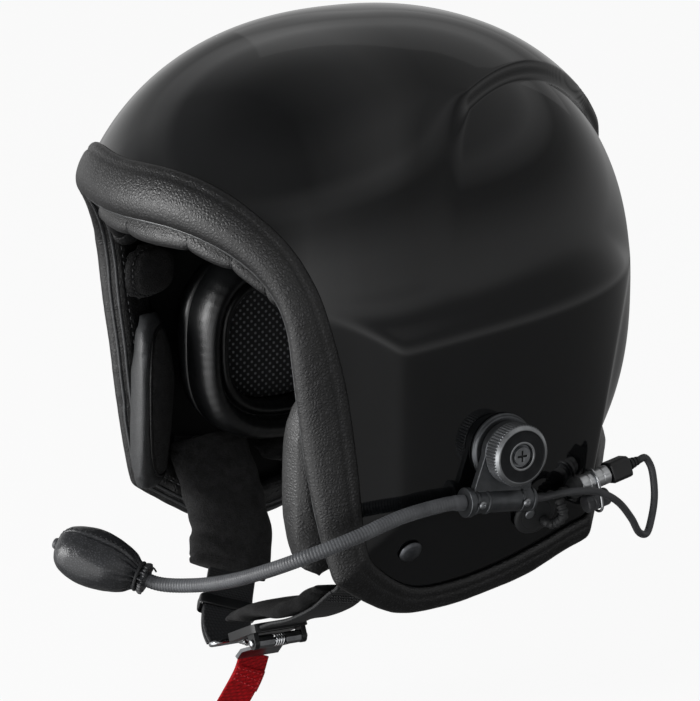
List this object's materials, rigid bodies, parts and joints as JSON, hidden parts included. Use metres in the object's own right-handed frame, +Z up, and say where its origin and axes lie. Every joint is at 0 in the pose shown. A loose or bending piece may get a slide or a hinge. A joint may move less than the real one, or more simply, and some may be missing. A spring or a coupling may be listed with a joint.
{
  "type": "flight helmet",
  "caption": "Open-face flight helmet: hard shell, leather edge roll, lined ear cups, buckled chin strap and a microphone on a swivelling boom.",
  "frame": {"origin": "centre of the dome, inside the head cavity", "axes": "+X is the wearer's left, -Y is forward, +Z is up"},
  "size_m": [0.249, 0.3124, 0.3527],
  "materials": {
    "shell_paint": "high gloss black lacquer",
    "black_leather": "soft grained, semi matt",
    "fleece": "short pile",
    "foam": "matt expanded foam",
    "webbing": "woven",
    "red_webbing": "woven",
    "black_plastic": "satin moulded",
    "grey_plastic": "satin moulded",
    "rubber": "matt",
    "steel": "bright plated",
    "dark_metal": "black anodised",
    "speaker_cloth": "dotted acoustic cloth"
  },
  "bodies": {
    "helmet": {"shell": "shell_paint", "edge_trim": "black_leather", "foam_liner": "foam", "crown_pad": "black_leather", "nape_pad": "fleece", "brow_pad": "black_leather", "swivel_base": "dark_metal", "swivel_post": "steel", "lead_patch": "rubber", "patch_screw": "steel", "socket_lead": "rubber", "socket_boot": "rubber", "plug_sleeve": "steel", "plug_body": "black_plastic", "plug_relief": "rubber", "spare_connector": "grey_plastic", "wire_clip": "steel", "left_temple_pad": "fleece", "right_temple_pad": "fleece", "left_cheek_pad": "fleece", "right_cheek_pad": "fleece", "left_neck_pad": "fleece", "right_neck_pad": "fleece", "left_ear_cup": "black_plastic", "right_ear_cup": "black_plastic", "left_ear_seal": "black_leather", "right_ear_seal": "black_leather", "left_speaker_grille": "speaker_cloth", "right_speaker_grille": "speaker_cloth", "left_speaker": "black_plastic", "right_speaker": "black_plastic", "left_cup_spacer": "foam", "right_cup_spacer": "foam", "left_strap_anchor": "steel", "right_strap_anchor": "steel", "left_strap_washer": "steel", "right_strap_washer": "steel", "left_strap_tab": "webbing", "right_strap_tab": "webbing"},
    "boom_arm": {"friction_washer": "rubber", "boom_bracket": "dark_metal", "clamp_screw_1": "steel", "clamp_screw_2": "steel", "gooseneck": "dark_metal", "boom_lead": "rubber"},
    "boom_knob_body": {"boom_knob": "dark_metal", "knob_screw": "steel"},
    "microphone": {"mic_capsule": "black_plastic", "mic_muff": "black_leather", "mic_drawcord": "webbing"},
    "left_strap_body": {"left_strap": "webbing", "left_strap_pad": "fleece", "buckle_body": "black_plastic", "lever_pin": "steel", "lever_spring": "steel"},
    "lever": {"buckle_lever": "steel"},
    "pull_tab_body": {"pull_tab": "red_webbing"},
    "right_strap_body": {"right_strap": "webbing", "right_strap_pad": "fleece", "strap_hook": "steel"}
  },
  "joints": [
    {"name": "boom_swivel", "type": "hinge", "parent": "helmet", "child": "boom_arm", "pos_m": [0.11501, 0.0073, -0.0523], "axis": [1, 0, 0], "range_deg": [-42, 12], "deforming": ["boom_lead"]},
    {"name": "boom_knob_turn", "type": "hinge", "parent": "helmet", "child": "boom_knob_body", "pos_m": [0.11501, 0.0073, -0.0523], "axis": [1, 0, 0], "range_deg": [0, 270]},
    {"name": "boom_bend", "type": "hinge", "parent": "boom_arm", "child": "microphone", "pos_m": [0.09419, -0.10991, -0.10039], "axis": [0, 0, 1], "range_deg": [-25, 25], "deforming": ["gooseneck"]},
    {"name": "left_strap_swing", "type": "hinge", "parent": "helmet", "child": "left_strap_body", "pos_m": [0.07566, -0.05205, -0.12575], "axis": [0.199, -0.9501, 0.24], "range_deg": [0, 40]},
    {"name": "buckle_lever_turn", "type": "hinge", "parent": "left_strap_body", "child": "lever", "pos_m": [0.02991, -0.06532, -0.15906], "axis": [-0.027, -0.9996, 0.011], "range_deg": [0, 50], "stiffness_Nm_per_rad": 0.05, "springref_deg": -5.73},
    {"name": "pull_tab_swing", "type": "hinge", "parent": "lever", "child": "pull_tab_body", "pos_m": [0.00583, -0.06482, -0.17317], "axis": [0.2009, 0.9744, -0.1005], "range_deg": [-30, 35]},
    {"name": "right_strap_swing", "type": "hinge", "parent": "helmet", "child": "right_strap_body", "pos_m": [-0.07081, -0.03537, -0.11959], "axis": [0.106, 0.9906, -0.087], "range_deg": [0, 40]}
  ]
}
